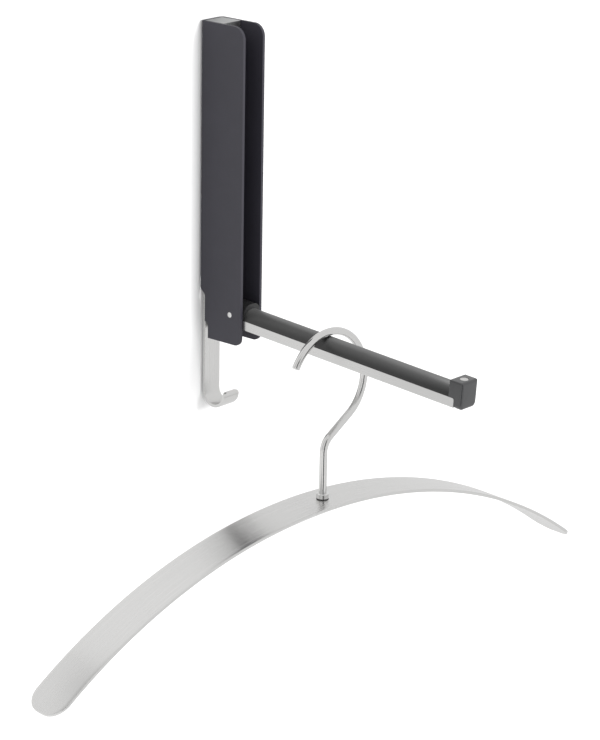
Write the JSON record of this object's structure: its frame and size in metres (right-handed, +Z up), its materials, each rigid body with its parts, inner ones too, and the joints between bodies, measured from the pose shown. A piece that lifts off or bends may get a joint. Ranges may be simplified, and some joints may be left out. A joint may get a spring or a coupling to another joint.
{
  "type": "folding wall coat rack",
  "caption": "Narrow wall channel with a hanging bar that folds up into it on a pivot, a curled coat hook below, and a wire and strip clothes hanger on the bar.",
  "frame": {"origin": "on the wall plane, midway between the two wall screw holes, on the channel's centre line", "axes": "+Z up, +Y into the wall, so the room is at -Y and the lowered bar points along -Y; +X to the right, seen from the room"},
  "size_m": [0.4574, 0.2152, 0.3757],
  "materials": {
    "black_paint": "fine matt powder coat",
    "black_plastic": "matt, slightly glossy on the cover",
    "brushed_steel": "satin, brushed along the strip",
    "plain_steel": "plain zinc-plated",
    "magnet_nickel": "nickel-plated, satin",
    "bronze": "plain bearing bronze",
    "nylon": "black nylon"
  },
  "bodies": {
    "bracket": {"wall_channel": "black_paint", "keeper_block": "plain_steel", "keeper_screws": "plain_steel", "coat_hook": "brushed_steel", "stop_block": "plain_steel", "hook_screws": "plain_steel", "pivot_pin": "brushed_steel"},
    "arm": {"hinge_block": "black_plastic", "pivot_bushes": "bronze", "arm_rail": "brushed_steel", "arm_cover": "black_plastic", "block_screws": "plain_steel", "end_cap": "black_plastic", "cap_screw": "plain_steel", "cap_magnet": "magnet_nickel"},
    "hook": {"hanger_wire": "brushed_steel", "hanger_collar": "brushed_steel"},
    "bow": {"swivel_washer": "nylon", "hanger_bow": "brushed_steel", "lower_washer": "plain_steel"}
  },
  "joints": [
    {"name": "arm_fold", "type": "hinge", "parent": "bracket", "child": "arm", "pos_m": [0, -0.027, -0.095], "axis": [-1, 0, 0], "range_deg": [0, 94]},
    {"name": "hanger_lift_off", "type": "slide", "parent": "bracket", "child": "hook", "axis": [0.3542, 0, 0.9352], "range_m": [0, 0.232]},
    {"name": "hook_swivel", "type": "hinge", "parent": "hook", "child": "bow", "pos_m": [-0.0025, -0.102, -0.203], "axis": [0, 0, 1], "range_deg": [-15.5, 26.5]}
  ],
  "couplings": [
    {"joint": "hanger_lift_off", "follows": "arm_fold", "m_per_rad": 0.14115}
  ]
}
